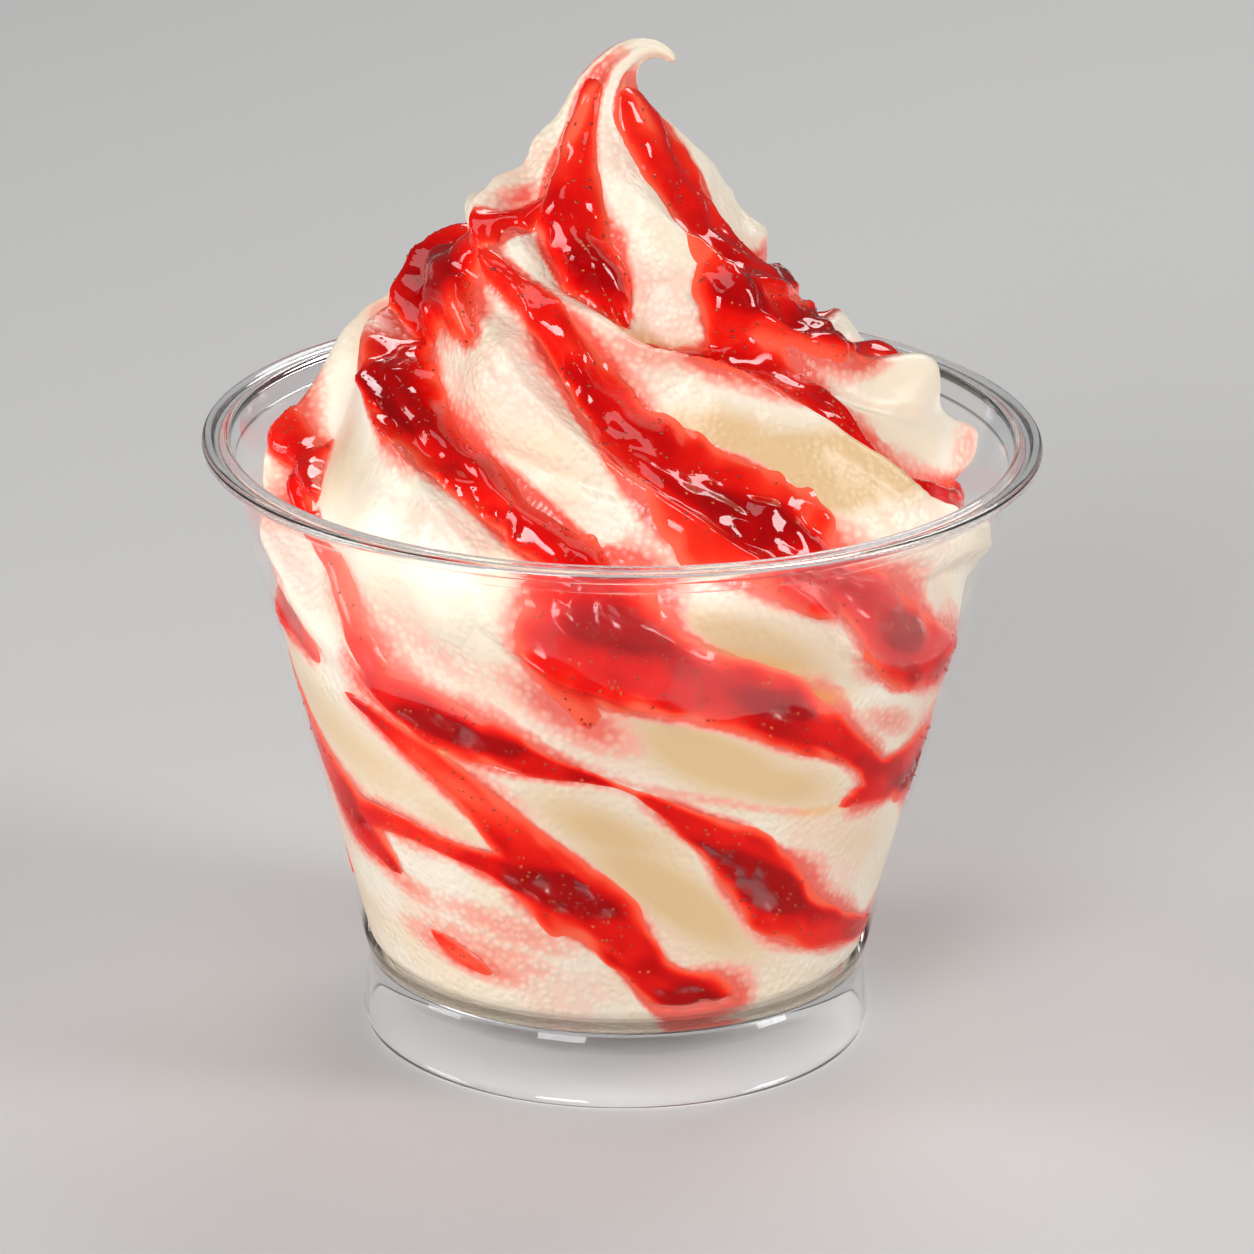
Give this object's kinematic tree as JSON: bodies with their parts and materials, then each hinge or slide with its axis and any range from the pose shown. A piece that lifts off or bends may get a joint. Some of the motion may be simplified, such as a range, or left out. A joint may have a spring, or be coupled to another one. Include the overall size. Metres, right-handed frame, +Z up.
{
  "type": "strawberry sundae",
  "caption": "Soft serve piped into a tall twisted swirl with a curled tip, strawberry sauce in its valleys, served in a clear flared cup on a hollow foot.",
  "frame": {"origin": "centre of the cup's foot, on the plane that it stands on", "axes": "+Z up along the cup's axis, front of the swirl towards -Y, +X to the right"},
  "size_m": [0.098, 0.098, 0.1206],
  "materials": {
    "clear_plastic": "clear moulded plastic, glossy",
    "soft_serve": "ivory frozen cream, softly matt",
    "strawberry_sauce": "deep red fruit sauce, wet gloss"
  },
  "bodies": {
    "root": {"cup": "clear_plastic", "ice_cream": "soft_serve", "sauce_ribbon_1": "strawberry_sauce", "sauce_ribbon_2": "strawberry_sauce", "sauce_ribbon_3": "strawberry_sauce", "sauce_ribbon_4": "strawberry_sauce", "sauce_ribbon_5": "strawberry_sauce", "sauce_ribbon_6": "strawberry_sauce", "sauce_ribbon_7": "strawberry_sauce", "sauce_ribbon_8": "strawberry_sauce"}
  },
  "joints": []
}
